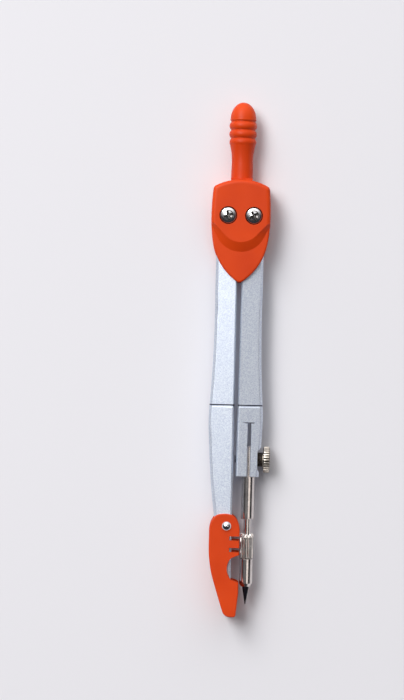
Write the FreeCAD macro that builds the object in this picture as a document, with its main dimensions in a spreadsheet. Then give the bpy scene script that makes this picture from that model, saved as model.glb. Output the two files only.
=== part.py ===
import math
import os
import re

import FreeCAD
import Part
import Sketcher

# Driving dimensions in millimetres. The compass lies on its back: X to the right, towards the
# lead leg, Y along the compass towards the grip, Z out of the front cover. The origin is midway
# between the two pivots, on the back of the rear cover.
SIZES = {
    # head
    "pivot_spacing": "8",
    "half_pivot": "=pivot_spacing / 2",
    "rear_plate": "2.6",
    "cover_gap": "6.8",
    "front_inside": "=rear_plate + cover_gap",
    "front_plate": "2.6",
    "head_front": "=front_inside + front_plate",
    "head_middle": "=head_front / 2",
    "cover_margin": "5.25",
    "cover_half_width": "=half_pivot + cover_margin",
    "cover_top": "11.3",
    "cover_shoulder": "8.9",
    "cover_corner": "1.43",
    "cover_tip": "20.9",
    "cover_tip_half_width": "0.9",
    "cover_rounding": "=0.9 * cover_corner",
    "back_rounding": "=0.7 * cover_corner",
    "nose_rounding": "=0.4 * cover_corner",
    "beyond_side": "=cover_half_width + 3",
    "beyond_tip": "=cover_tip + 4",
    "pad_height": "=cover_rounding + 0.02",
    "pad_tip": "8.3",
    "pad_bend": "6.6",
    "slope_tip": "11.3",
    "slope_bend": "8.1",
    "flank_end": "0.5",
    "lower_front": "=head_front - pad_height",
    "wall_end": "2.5",
    "wall_inside": "=cover_half_width - 1.45",
    # legs
    "leg_back": "=rear_plate + 0.2",
    "leg_thickness": "6.4",
    "leg_front": "=leg_back + leg_thickness",
    "leg_half_width": "3.4",
    "leg_tilt_drop": "0.4",
    "leg_outer_bevel": "0.8",
    "leg_inner_bevel": "0.45",
    "leg_edge": "=half_pivot + leg_half_width",
    "leg_gap_half": "0.72",
    "leg_end_gap_half": "0.45",
    "hub_flat": "7",
    "straight_end": "24",
    "flare_middle": "45",
    "swell_at": "66",
    "swell": "1",
    "groove_at": "59.2",
    "groove_width": "0.4",
    "groove_depth": "0.3",
    # pivots
    "pivot_radius": "1.5",
    "running_fit": "0.05",
    "screw_head_radius": "2.5",
    "screw_head_height": "1.7",
    "screw_dome": "0.75",
    "left_screw_turn": "17",
    "right_screw_turn": "32",
    "counterbore_radius": "2.75",
    "counterbore_floor": "=head_front - 1.3",
    "nut_across_flats": "5.5",
    "nut_height": "1.6",
    "washer_radius": "3",
    "washer_height": "0.55",
    "peg_radius": "1",
    "peg_across": "=half_pivot + 1.3",
    "peg_up": "=cover_shoulder - 2.3",
    "peg_reach": "1",
    # clamp
    "stem_across": "=half_pivot + 0.4",
    "stem_height": "=clamp_height + clamp_radius + stem_radius + 0.05",
    "stem_radius": "1.25",
    "stem_top": "71.7",
    "lead_leg_end": "81.4",
    "slit_width": "1.1",
    "slit_top": "64.8",
    "clamp_line_at": "=slit_top + 1.2",
    "clamp_at": "76.1",
    "clamp_height": "4.2",
    "clamp_radius": "1.25",
    "spot_face_across": "=leg_edge - 0.3",
    "spot_face_radius": "=wheel_radius + 1.2",
    "wheel_gap": "1.8",
    "wheel_thickness": "2.1",
    "wheel_inside": "=spot_face_across + wheel_gap",
    "wheel_outside": "=wheel_inside + wheel_thickness",
    "wheel_radius": "4.1",
    "wheel_hub_radius": "2.2",
    # lead holder
    "rod_radius": "2",
    "rod_end": "94.7",
    "collet_tail": "4.9",
    "neck_radius": "1.08",
    "jaw_radius": "1.5",
    "chuck_nut_top": "99.2",
    "chuck_nut_end": "107",
    "chuck_nut_radius": "2.18",
    "sleeve_radius": "2.07",
    "sleeve_end": "115.8",
    "lead_radius": "1",
    "lead_back": "104.2",
    "lead_tip": "121.4",
    # needle end
    "rivet_across": "2.05",
    "rivet_at": "96.9",
    "rivet_radius": "0.9",
    "needle_across": "1.5",
    "needle_radius": "0.55",
    "needle_leg_end": "114.3",
    "needle_leg_narrows": "91.7",
    "needle_seat": "8.8",
    "needle_tip": "122",
    "needle_point": "4",
    "guard_clearance": "0.2",
    "guard_back_plate": "1.6",
    "guard_front_plate": "1.4",
    "guard_back": "=leg_back - guard_clearance - guard_back_plate",
    "guard_front": "=leg_front + guard_clearance + guard_front_plate",
    "guard_wall": "1.3",
    "guard_side": "7.4",
    "guard_right": "2.15",
    "guard_tip": "125.3",
    "slot_at": "3.8",
    "slot_height": "1.3",
    "slot_pitch": "3.6",
    # grip
    "grip_top": "35.6",
    "grip_radius": "4.27",
    "grip_neck_radius": "3.45",
    "neck_end": "=cover_top + 0.15",
    "valley_at": "24.3",
    "rib_pitch": "2.6",
    "valley_radius": "=grip_radius - 0.46",
}

THROUGH = "head_front + 8"  # a cut that long passes through any piece
GEAR_TEETH = 16
PRESSURE_ANGLE = math.radians(20)
TOOTH_THINNING = 0.06

doc = FreeCAD.newDocument("drawing_compass")
sheet = doc.addObject("Spreadsheet::Sheet", "sizes")


def fill_sheet():
    for row, (name, value) in enumerate(SIZES.items(), start=1):
        sheet.set(f"A{row}", name)
        sheet.set(f"B{row}", value)
        sheet.setAlias(f"B{row}", name)
    doc.recompute()


def bound(expression):
    """The expression with every size name pointed at the sheet."""
    return re.sub(
        r"[a-z_]+",
        lambda word: "sizes." + word.group() if word.group() in SIZES else word.group(),
        str(expression),
    )


def value(expression):
    return float(sheet.evalExpression(bound(expression)))


def bind(thing, path, expression):
    thing.setExpression(path, bound(expression))


def new_body(label):
    body = doc.addObject("PartDesign::Body", label)
    body.Label = label
    return body


def origin_feature(body, role):
    return next(item for item in body.Origin.OriginFeatures if item.Role == role)


def place(thing, across="0", along="0", up="0"):
    bind(thing, "Placement.Base.x", across)
    bind(thing, "Placement.Base.y", along)
    bind(thing, "Placement.Base.z", up)


def new_sketch(body, name, plane, offset="0"):
    sketch = body.newObject("Sketcher::SketchObject", name)
    sketch.AttachmentSupport = [(origin_feature(body, plane), "")]
    sketch.MapMode = "FlatFace"
    bind(sketch, "AttachmentOffset.Base.z", offset)
    return sketch


def hold_point(sketch, geometry, position, across, up):
    for kind, expression in (("DistanceX", across), ("DistanceY", up)):
        row = sketch.addConstraint(
            Sketcher.Constraint(kind, -1, 1, geometry, position, value(expression))
        )
        bind(sketch, f"Constraints[{row}]", expression)


def arc_radius(corner, following):
    """Radius of the arc from a corner to the following one, from the turn that it makes."""
    across = f"{following[0]} - ({corner[0]})"
    up = f"{following[1]} - ({corner[1]})"
    return f"abs(hypot({across}; {up}) / (2 * sin(({corner[2]}) / 2)))"


def arc_through(start, end, radius, left_turn):
    """Minor arc from start to end, drawn anticlockwise."""
    if not left_turn:
        start, end = end, start
    half = (end - start) * 0.5
    left = FreeCAD.Vector(-half.y, half.x, 0).normalize()
    centre = start + half + left * math.sqrt(radius**2 - half.Length**2)
    first = math.atan2(start.y - centre.y, start.x - centre.x)
    last = math.atan2(end.y - centre.y, end.x - centre.x)
    circle = Part.Circle(centre, FreeCAD.Vector(0, 0, 1), radius)
    return Part.ArcOfCircle(circle, first, last)


def draw_outline(sketch, corners):
    """Close a loop through (across, up) corners.

    A third entry bends the edge that follows: its turn in degrees, positive to the left.
    """
    spots = [FreeCAD.Vector(value(c[0]), value(c[1]), 0) for c in corners]
    ends = []
    for index, corner in enumerate(corners):
        start, end = spots[index], spots[(index + 1) % len(spots)]
        if len(corner) == 2:
            ends.append((sketch.addGeometry(Part.LineSegment(start, end)), 1, 2))
            continue
        radius = arc_radius(corner, corners[(index + 1) % len(corners)])
        left_turn = value(corner[2]) > 0
        edge = sketch.addGeometry(arc_through(start, end, value(radius), left_turn))
        ends.append((edge, 1, 2) if left_turn else (edge, 2, 1))
        row = sketch.addConstraint(Sketcher.Constraint("Radius", edge, value(radius)))
        bind(sketch, f"Constraints[{row}]", radius)
    for index, corner in enumerate(corners):
        edge, start, _ = ends[index]
        before, _, finish = ends[index - 1]
        sketch.addConstraint(Sketcher.Constraint("Coincident", before, finish, edge, start))
        hold_point(sketch, edge, start, corner[0], corner[1])


def draw_circle(sketch, across, up, radius):
    circle = Part.Circle(FreeCAD.Vector(0, 0, 0), FreeCAD.Vector(0, 0, 1), value(radius))
    circle.Center = FreeCAD.Vector(value(across), value(up), 0)
    edge = sketch.addGeometry(circle)
    hold_point(sketch, edge, 3, across, up)
    row = sketch.addConstraint(Sketcher.Constraint("Radius", edge, value(radius)))
    bind(sketch, f"Constraints[{row}]", radius)


def extrude(body, kind, name, sketch, length, reverse=False, both_ways=False):
    feature = body.newObject("PartDesign::" + kind, name)
    feature.Profile = sketch
    bind(feature, "Length", length)
    feature.Reversed = reverse
    feature.Midplane = both_ways
    return feature


def pad(body, name, plane, offset, length, corners, reverse=False, both_ways=False):
    sketch = new_sketch(body, name + "_sketch", plane, offset)
    draw_outline(sketch, corners)
    return extrude(body, "Pad", name, sketch, length, reverse, both_ways)


def pocket(body, name, plane, offset, length, corners, reverse=False, both_ways=False):
    sketch = new_sketch(body, name + "_sketch", plane, offset)
    draw_outline(sketch, corners)
    return extrude(body, "Pocket", name, sketch, length, reverse, both_ways)


def round_pad(body, name, plane, offset, length, circles, reverse=False):
    sketch = new_sketch(body, name + "_sketch", plane, offset)
    for circle in circles:
        draw_circle(sketch, *circle)
    return extrude(body, "Pad", name, sketch, length, reverse)


def round_pocket(body, name, plane, offset, length, circles, reverse=False, both_ways=False):
    sketch = new_sketch(body, name + "_sketch", plane, offset)
    for circle in circles:
        draw_circle(sketch, *circle)
    return extrude(body, "Pocket", name, sketch, length, reverse, both_ways)


def turn(body, kind, name, corners, plane="XY_Plane", axis="V_Axis"):
    sketch = new_sketch(body, name + "_sketch", plane)
    draw_outline(sketch, corners)
    feature = body.newObject("PartDesign::" + kind, name)
    feature.Profile = sketch
    feature.ReferenceAxis = (sketch, [axis])
    feature.Angle = 360
    return feature


def repeat_round(body, name, cut, axis, count):
    pattern = body.newObject("PartDesign::PolarPattern", name)
    pattern.Originals = [cut]
    pattern.Axis = (origin_feature(body, axis), [""])
    pattern.Angle = 360
    pattern.Occurrences = count
    body.Tip = pattern
    return pattern


def edge_names(feature, wanted):
    doc.recompute()
    return [
        f"Edge{number}"
        for number, edge in enumerate(feature.Shape.Edges, start=1)
        if wanted(edge)
    ]


def dress(body, kind, name, feature, size, wanted):
    names = edge_names(feature, wanted)
    result = body.newObject("PartDesign::" + kind, name)
    result.Base = (feature, names)
    bind(result, "Radius" if kind == "Fillet" else "Size", size)
    body.Tip = result
    return result


def level_edge(height):
    """Test for edges that lie wholly at one height."""

    def at_height(edge):
        box = edge.BoundBox
        return abs(box.ZMin - height) < 1e-4 and abs(box.ZMax - height) < 1e-4

    return at_height


def dome(half_width, rise):
    """Turn of the arc from a rim to the axis, which it crosses squarely, a rise higher up."""
    return f"2 * atan(({rise}) / ({half_width}))"


def rim_edges(feature, height, radius):
    """Edges at the height that a level face shares with an upright one, with their radius."""
    wanted = []
    for number, edge in enumerate(feature.Shape.Edges, start=1):
        faces = feature.Shape.ancestorsOfType(edge, Part.Face)
        upright = [face for face in faces if isinstance(face.Surface, Part.Cylinder)]
        if level_edge(height)(edge) and upright:
            wanted.append((number, radius, radius))
    return wanted


def cut_from(label, base, tools):
    result = doc.addObject("Part::Cut", label)
    result.Base = base
    if len(tools) > 1:
        joined = doc.addObject("Part::MultiFuse", label + "_tools")
        joined.Shapes = tools
        result.Tool = joined
    else:
        result.Tool = tools[0]
    result.Label = label
    return result


# ---------------------------------------------------------------- head


def shield():
    """Outline of both covers, from the tip round by the right side."""
    side = [
        ("cover_tip_half_width", "-cover_tip + 0.39 * cover_tip_half_width", "43.4"),
        ("cover_half_width - 0.85", "-0.44 * cover_tip", "10.6"),
        ("cover_half_width", "0", "6"),
        ("cover_half_width - 0.29 * cover_corner", "cover_shoulder - 0.57 * cover_corner", "55.5"),
    ]
    top = ("cover_half_width - 0.78 * cover_corner", "cover_shoulder + 0.23 * cover_corner")
    crown = f"4 * atan((cover_top - ({top[1]})) / ({top[0]}))"
    other_side = []
    for index in (3, 2, 1, 0):
        bend = side[index - 1][2] if index else "69.4"
        other_side.append((f"-({side[index][0]})", side[index][1], bend))
    return side + [top + (crown,), (f"-({top[0]})", top[1], side[3][2])] + other_side


def hexagon(across, up, flats):
    corner = f"{flats} / sqrt(3)"
    return [
        (f"{across} + {corner}", up),
        (f"{across} + {corner} / 2", f"{up} + {flats} / 2"),
        (f"{across} - {corner} / 2", f"{up} + {flats} / 2"),
        (f"{across} - {corner}", up),
        (f"{across} - {corner} / 2", f"{up} - {flats} / 2"),
        (f"{across} + {corner} / 2", f"{up} - {flats} / 2"),
    ]


def make_rear_cover():
    body = new_body("rear_cover")
    shell = pad(body, "shell", "XY_Plane", "0", "front_inside", shield())
    dress(body, "Fillet", "rounded_back", shell, "back_rounding", level_edge(0))
    hollow = [
        ("-beyond_side", "-beyond_tip"),
        ("beyond_side", "-beyond_tip"),
        ("beyond_side", "wall_end"),
        ("wall_inside", "wall_end"),
        ("wall_inside - 0.3", "cover_shoulder - 1.2"),
        ("grip_neck_radius + 0.15", "cover_shoulder + 0.5"),
        ("grip_neck_radius + 0.15", "cover_top + 1"),
        ("-grip_neck_radius - 0.15", "cover_top + 1"),
        ("-grip_neck_radius - 0.15", "cover_shoulder + 0.5"),
        ("-wall_inside + 0.3", "cover_shoulder - 1.2"),
        ("-wall_inside", "wall_end"),
        ("-beyond_side", "wall_end"),
    ]
    pocket(body, "hollow", "XY_Plane", "front_inside", "cover_gap", hollow)
    pegs = [("peg_across", "peg_up", "peg_radius"), ("-peg_across", "peg_up", "peg_radius")]
    round_pad(body, "pegs", "XY_Plane", "rear_plate - 0.1", "cover_gap + peg_reach + 0.1", pegs)
    bores = [(x, "0", "pivot_radius + running_fit") for x in ("half_pivot", "-half_pivot")]
    round_pocket(body, "screw_holes", "XY_Plane", "0", "rear_plate", bores, reverse=True)
    for side, name in (("1", "right"), ("-1", "left")):
        outline = hexagon(f"{side} * half_pivot", "0", "(nut_across_flats + 0.1)")
        pocket(
            body, name + "_nut_pocket", "XY_Plane", "0", "nut_height + 0.2", outline, reverse=True
        )
    return body


def make_front_cover():
    body = new_body("front_cover_blank")
    block = pad(body, "block", "XY_Plane", "front_inside", "front_plate", shield())
    level = level_edge(value("head_front"))
    dress(body, "Fillet", "front_rounding", block, "cover_rounding", level)
    heads = [(x, "0", "counterbore_radius") for x in ("half_pivot", "-half_pivot")]
    round_pocket(
        body, "counterbores", "XY_Plane", "head_front", "head_front - counterbore_floor", heads
    )
    bores = [(x, "0", "pivot_radius + running_fit") for x in ("half_pivot", "-half_pivot")]
    round_pocket(body, "screw_holes", "XY_Plane", "head_front", "front_plate", bores)
    seats = [(x, "0", "washer_radius + 0.2") for x in ("half_pivot", "-half_pivot")]
    seat_depth = "leg_front + washer_height + 0.1 - front_inside"
    round_pocket(
        body, "washer_seats", "XY_Plane", "front_inside", seat_depth, seats, reverse=True
    )
    sockets = [(x, "peg_up", "peg_radius + 0.08") for x in ("peg_across", "-peg_across")]
    round_pocket(
        body, "peg_sockets", "XY_Plane", "front_inside", "peg_reach + 0.2", sockets, reverse=True
    )

    # the raised pad ends in a slope: a round nose whose flanks run out to the sides
    slope = doc.addObject("PartDesign::Body", "pad_slope")
    rings = []
    for name, tip, bend, half_turn, lean, height in (
        ("slope_foot", "slope_tip", "slope_bend", 60, "0.5", "lower_front"),
        ("slope_crest", "pad_tip", "pad_bend", 46, "0.95", "head_front + 0.001"),
    ):
        nose = f"({bend}) * sin({half_turn})"
        start = f"({bend}) * (1 - cos({half_turn})) - {tip}"
        flank = f"{nose} + {lean} * ({tip} + flank_end - ({bend}) * (1 - cos({half_turn})))"
        corners = [
            (f"-{nose}", start, f"{2 * half_turn}"),
            (nose, start),
            (flank, "flank_end"),
            (f"-({flank})", "flank_end"),
        ]
        ring = new_sketch(slope, name, "XY_Plane", height)
        draw_outline(ring, corners)
        rings.append(ring)
    loft = slope.newObject("PartDesign::AdditiveLoft", "slope_faces")
    loft.Profile = rings[0]
    loft.Sections = [rings[1]]
    loft.Ruled = True
    waste = doc.addObject("Part::Box", "lower_waste")
    bind(waste, "Length", "2 * beyond_side")
    bind(waste, "Width", "beyond_tip + flank_end - 0.01")
    bind(waste, "Height", "pad_height + 1")
    place(waste, across="-beyond_side", along="-beyond_tip", up="lower_front")
    stepped = cut_from("stepped_cover", body, [cut_from("lower_step", waste, [slope])])
    doc.recompute()
    cover = doc.addObject("Part::Fillet", "front_cover")
    cover.Base = stepped
    cover.Edges = rim_edges(stepped, value("lower_front"), value("nose_rounding"))
    return cover


def make_grip():
    body = new_body("grip")
    profile = [
        ("0", "neck_end"),
        ("grip_neck_radius", "neck_end"),
        ("grip_neck_radius - 0.13", "neck_end + 5.2", "-15"),
        ("grip_radius - 0.26", "valley_at - 1.95", "69"),
    ]
    for rib in range(2):
        valley = f"valley_at + {rib} * rib_pitch"
        profile.append(("valley_radius", f"{valley} - 0.12"))
        profile.append(("valley_radius", f"{valley} + 0.12", "91"))
    profile += [
        ("valley_radius", "valley_at + 2 * rib_pitch - 0.12"),
        ("valley_radius", "valley_at + 2 * rib_pitch + 0.2", "83"),
        ("grip_radius - 0.22", "grip_top - 5.2", "22"),
        ("grip_radius - 0.77", "grip_top - 2.67", "29"),
        ("grip_radius - 2.25", "grip_top - 0.72", dome("grip_radius - 2.25", "0.72")),
        ("0", "grip_top"),
    ]
    turn(body, "Revolution", "turned_grip", profile)
    tongue = [
        ("-wall_inside + 0.65", "peg_up - 1.4"),
        ("wall_inside - 0.65", "peg_up - 1.4"),
        ("wall_inside - 0.75", "cover_shoulder - 1.6"),
        ("grip_neck_radius - 0.15", "cover_shoulder + 0.05"),
        ("grip_neck_radius - 0.15", "neck_end + 0.3"),
        ("-grip_neck_radius + 0.15", "neck_end + 0.3"),
        ("-grip_neck_radius + 0.15", "cover_shoulder + 0.05"),
        ("-wall_inside + 0.75", "cover_shoulder - 1.6"),
    ]
    pad(
        body, "tongue", "XY_Plane", "rear_plate + 0.1 - head_middle", "cover_gap - 0.2", tongue
    )
    holes = [(x, "peg_up", "peg_radius + 0.08") for x in ("peg_across", "-peg_across")]
    round_pocket(body, "peg_holes", "XY_Plane", "0", "cover_gap + 1", holes, both_ways=True)
    place(body, up="head_middle")
    return body


def make_pivot_screw(label, side, turned):
    body = new_body(label)
    head = "counterbore_floor"
    profile = [
        ("0", "0.35"),
        ("pivot_radius - 0.25", "0.35"),
        ("pivot_radius", "0.6"),
        ("pivot_radius", head),
        ("screw_head_radius", head),
        (
            "screw_head_radius", f"{head} + screw_head_height - screw_dome",
            dome("screw_head_radius", "screw_dome"),
        ),
        ("0", f"{head} + screw_head_height"),
    ]
    turn(body, "Revolution", "turned_screw", profile, plane="XZ_Plane")
    wide = "0.17 * screw_head_radius"
    arm = "0.58 * screw_head_radius"
    cross = [
        (arm, f"-{wide}"), (arm, wide), (wide, wide), (wide, arm), (f"-{wide}", arm),
        (f"-{wide}", wide), (f"-{arm}", wide), (f"-{arm}", f"-{wide}"), (f"-{wide}", f"-{wide}"),
        (f"-{wide}", f"-{arm}"), (wide, f"-{arm}"), (wide, f"-{wide}"),
    ]
    recess = pocket(
        body, "cross_recess", "XY_Plane", f"{head} + screw_head_height", "screw_head_height - 0.4",
        cross,
    )
    recess.TaperAngle = -12
    place(body, across=f"{side} * half_pivot")
    bind(body, "Placement.Rotation.Angle", turned)
    return body


def make_pivot_nut(label, side):
    body = new_body(label)
    pad(body, "hexagon", "XY_Plane", "0", "nut_height", hexagon("0", "0", "nut_across_flats"))
    bore = [("0", "0", "pivot_radius + running_fit")]
    round_pocket(body, "bore", "XY_Plane", "0", "nut_height", bore, reverse=True)
    place(body, across=f"{side} * half_pivot", up="0.15")
    return body


def make_spring_washer(label, side):
    body = new_body(label)
    profile = [
        ("pivot_radius + 0.1", "washer_height - 0.25"),
        ("washer_radius", "0.02"),
        ("washer_radius", "0.27"),
        ("pivot_radius + 0.1", "washer_height"),
    ]
    turn(body, "Revolution", "dished_ring", profile, plane="XZ_Plane")
    place(body, across=f"{side} * half_pivot", up="leg_front")
    return body


# ---------------------------------------------------------------- legs


def involute(angle):
    return math.tan(angle) - angle


def tooth_half_angle(radius, base_radius):
    """Half the angle that a thinned involute tooth spans at a radius."""
    at_pitch = math.pi / (2 * GEAR_TEETH) + involute(PRESSURE_ANGLE)
    thinning = TOOTH_THINNING / (2 * value("half_pivot"))
    reached = math.acos(min(1.0, base_radius / radius))
    return at_pitch - involute(reached) - thinning


def make_toothed_hub(name, side, first_tooth, teeth):
    """Round hub with a sector of involute teeth that faces the other hub."""
    pitch_radius = value("half_pivot")
    module = pitch_radius * 2 / GEAR_TEETH
    base_radius = pitch_radius * math.cos(PRESSURE_ANGLE)
    tip_radius = pitch_radius + 0.88 * module
    centre = FreeCAD.Vector(side * pitch_radius, 0, value("leg_back"))
    height = value("leg_thickness")
    root_radius = value("leg_half_width") - 0.4
    hub = Part.makeCylinder(value("leg_half_width"), height, centre)

    def spot(radius, angle):
        return FreeCAD.Vector(radius * math.cos(angle), radius * math.sin(angle), 0) + centre

    for tooth in range(teeth):
        middle = first_tooth + tooth * 2 * math.pi / GEAR_TEETH
        rims = {}
        for edge in (-1, 1):
            rims[edge] = [
                spot(radius, middle + edge * tooth_half_angle(max(radius, base_radius), base_radius))
                for radius in (root_radius, base_radius, (base_radius + tip_radius) / 2, tip_radius)
            ]
        low, high = rims[-1], rims[1]
        crown = spot(tip_radius, middle)
        edges = [
            Part.makeLine(low[0], low[1]),
            Part.Arc(low[1], low[2], low[3]).toShape(),
            Part.Arc(low[3], crown, high[3]).toShape(),
            Part.Arc(high[3], high[2], high[1]).toShape(),
            Part.makeLine(high[1], high[0]),
            Part.makeLine(high[0], low[0]),
        ]
        face = Part.Face(Part.Wire(edges))
        hub = hub.fuse(face.extrude(FreeCAD.Vector(0, 0, height)))
    bore = Part.makeCylinder(value("pivot_radius + running_fit"), height, centre)
    feature = doc.addObject("Part::Feature", name)
    feature.Shape = hub.cut(bore).removeSplitter()
    return feature


def join(label, pieces):
    result = doc.addObject("Part::MultiFuse", label)
    result.Shapes = pieces
    result.Refine = True
    result.Label = label
    return result


def mirrored(corners, side):
    """The outline as drawn for the right side, or turned over for the left."""
    if side > 0:
        return corners
    turned = []
    for corner in corners:
        bend = (f"-({corner[2]})",) if len(corner) == 3 else ()
        turned.append((f"-({corner[0]})", corner[1]) + bend)
    return turned


def leg_front_lean(body, side):
    """Lean the front face down towards the outer edge, below the hub."""
    far = "2 * leg_edge - leg_gap_half"
    wedge = [
        ("leg_gap_half", "leg_front"),
        (far, "leg_front - 2 * leg_tilt_drop"),
        (far, "leg_front + 1"),
        ("leg_gap_half", "leg_front + 1"),
    ]
    pocket(
        body, "front_lean", "XZ_Plane", "hub_flat", "needle_leg_end", mirrored(wedge, side),
        reverse=True,
    )


def leg_bevels(body, side, blade):
    """Wide bevels along the outer edges and narrow ones along the inner edges."""

    def long_edges(outer, height):
        def wanted(edge):
            box = edge.BoundBox
            middle = (box.XMin + box.XMax) / 2 * side
            at_side = middle > value("half_pivot") if outer else middle < 1
            return at_side and box.YLength > 1.5 and level_edge(value(height))(edge)

        return wanted

    last = blade
    for name, size, outer, height in (
        ("outer_front_bevel", "leg_outer_bevel + leg_tilt_drop", True, "leg_front"),
        ("outer_back_bevel", "leg_outer_bevel", True, "leg_back"),
        ("inner_front_bevel", "leg_inner_bevel", False, "leg_front"),
        ("inner_back_bevel", "leg_inner_bevel", False, "leg_back"),
    ):
        last = dress(body, "Chamfer", name, last, size, long_edges(outer, height))
    return last


def cross_groove(body, side, name="cross_groove", start="leg_gap_half - 1", at="groove_at", share="1"):
    """Fine straight groove across the front face, out to the outer edge."""
    far = "2 * leg_edge - leg_gap_half"
    floor = f"leg_front - {share} * groove_depth - 2 * leg_tilt_drop"
    drop = f"2 * leg_tilt_drop * (1 - ({start} - leg_gap_half) / ({far} - leg_gap_half))"
    band = [(start, f"{floor} + {drop}"), (far, floor), (far, "leg_front + 1"), (start, "leg_front + 1")]
    pocket(
        body, name, "XZ_Plane", at, f"{share} * groove_width", mirrored(band, side), reverse=True
    )


def pivot_bore(body, side):
    bore = [(f"{side} * half_pivot", "0", "pivot_radius + running_fit")]
    round_pocket(body, "pivot_bore", "XY_Plane", "0", THROUGH, bore, reverse=True)


def outer_edge(end_across, end_along):
    """Outer side of a leg from its lower end up to the hub."""
    return [
        (end_across, end_along, "2.6"),
        ("leg_edge + swell", "-swell_at", "6.4"),
        ("leg_edge + 0.9 * swell", "-groove_at - 0.3", "-2.2"),
        ("leg_edge + 0.15 * swell", "-flare_middle", "-2.8"),
        ("leg_edge", "-straight_end"),
        ("leg_edge", "0"),
    ]


def inner_edge(end_across, end_along):
    """Inner side of a leg from the hub down to its lower end."""
    return [
        ("half_pivot", "0"),
        ("leg_gap_half + 0.1", "-0.65 * leg_half_width"),
        ("leg_gap_half + 0.1", "-0.88 * leg_half_width"),
        (end_across, end_along),
    ]


def make_needle_leg():
    pitch = 2 * math.pi / GEAR_TEETH
    hub = make_toothed_hub("needle_leg_hub", -1, -pitch / 2, 5)
    body = new_body("needle_leg_blade")
    end = "-needle_leg_end"
    outline = inner_edge("leg_end_gap_half", "-needle_leg_narrows") + [
        ("leg_end_gap_half - 0.2", f"{end} + 1"),
        ("leg_end_gap_half + 0.4", end),
        ("needle_across + 1", end),
        ("needle_across + 1.6", f"{end} + 0.9"),
        ("leg_edge - 1.1", "-needle_leg_narrows", "3.5"),
    ]
    outline += outer_edge("leg_edge + 0.05", "-needle_leg_narrows + 10.3")
    blade = pad(
        body, "blade", "XY_Plane", "leg_back", "leg_thickness", mirrored(outline, -1)
    )
    leg_bevels(body, -1, blade)
    leg_front_lean(body, -1)
    cross_groove(body, -1)
    pivot_bore(body, -1)
    rivet = [("-rivet_across", "-rivet_at", "rivet_radius + running_fit")]
    round_pocket(body, "rivet_bore", "XY_Plane", "0", THROUGH, rivet, reverse=True)
    needle = [("-needle_across", "stem_height", "needle_radius + 0.01")]
    round_pocket(body, "needle_bore", "XZ_Plane", "needle_leg_end", "needle_seat + 0.2", needle)
    return join("needle_leg", [body, hub])


def make_lead_leg():
    pitch = 2 * math.pi / GEAR_TEETH
    hub = make_toothed_hub("lead_leg_hub", 1, math.pi - 3 * pitch, 5)
    body = new_body("lead_leg_blade")
    outline = inner_edge("leg_end_gap_half", "-lead_leg_end")
    outline += outer_edge("leg_edge + 0.2", "-lead_leg_end")
    blade = pad(body, "blade", "XY_Plane", "leg_back", "leg_thickness", outline)
    leg_bevels(body, 1, blade)
    leg_front_lean(body, 1)
    cross_groove(body, 1)
    cross_groove(body, 1, "clamp_line", "stem_across + 1.15 * stem_radius", "clamp_line_at", "0.6")
    pivot_bore(body, 1)
    stem = [("stem_across", "stem_height", "stem_radius + running_fit")]
    round_pocket(
        body, "stem_bore", "XZ_Plane", "lead_leg_end", "lead_leg_end - stem_top + 0.6", stem
    )
    slit = [
        ("stem_across - slit_width / 2", "-lead_leg_end - 1"),
        ("stem_across + slit_width / 2", "-lead_leg_end - 1"),
        ("stem_across + slit_width / 2", "-slit_top"),
        ("stem_across + 1.15 * stem_radius", "-slit_top"),
        ("stem_across + 1.15 * stem_radius", "-slit_top + 0.35 * slit_width"),
        ("stem_across - 1.7 * stem_radius", "-slit_top + 0.35 * slit_width"),
        ("stem_across - 1.7 * stem_radius", "-slit_top"),
        ("stem_across - slit_width / 2", "-slit_top"),
    ]
    pocket(body, "clamp_slit", "XY_Plane", "0", THROUGH, slit, reverse=True)
    screw = [("-clamp_at", "clamp_height", "clamp_radius + running_fit")]
    round_pocket(body, "clamp_screw_bore", "YZ_Plane", "0", THROUGH, screw, reverse=True)
    face = [("-clamp_at", "clamp_height", "spot_face_radius")]
    round_pocket(body, "spot_face", "YZ_Plane", "spot_face_across", THROUGH, face, reverse=True)
    return join("lead_leg", [body, hub])


# ---------------------------------------------------------------- clamp


def make_clamp_screw():
    body = new_body("clamp_screw")
    profile = [
        ("-0.05", "0"),
        ("wheel_outside - 0.1", "0"),
        ("wheel_outside - 0.1", "clamp_radius"),
        ("0.35", "clamp_radius", dome("clamp_radius", "0.4")),
    ]
    turn(body, "Revolution", "shank", profile, axis="H_Axis")
    place(body, along="-clamp_at", up="clamp_height")
    return body


def make_thumb_wheel():
    body = new_body("thumb_wheel")
    profile = [
        ("spot_face_across + 0.12", "clamp_radius + 0.03"),
        ("wheel_outside", "clamp_radius + 0.03"),
        ("wheel_outside", "wheel_radius - 0.3"),
        ("wheel_outside - 0.3", "wheel_radius"),
        ("wheel_inside + 0.3", "wheel_radius"),
        ("wheel_inside", "wheel_radius - 0.3"),
        ("wheel_inside", "wheel_hub_radius"),
        ("spot_face_across + 0.12", "wheel_hub_radius"),
    ]
    turn(body, "Revolution", "turned_wheel", profile, axis="H_Axis")
    ridge = [
        ("-0.26", "wheel_radius + 0.1"),
        ("0", "wheel_radius - 0.28"),
        ("0.26", "wheel_radius + 0.1"),
    ]
    cut = pocket(
        body, "knurl_cut", "YZ_Plane", "wheel_inside - 0.1", "wheel_thickness + 0.2",
        ridge, reverse=True,
    )
    repeat_round(body, "knurl", cut, "X_Axis", 36)
    place(body, along="-clamp_at", up="clamp_height")
    return body


# ---------------------------------------------------------------- lead holder


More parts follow.
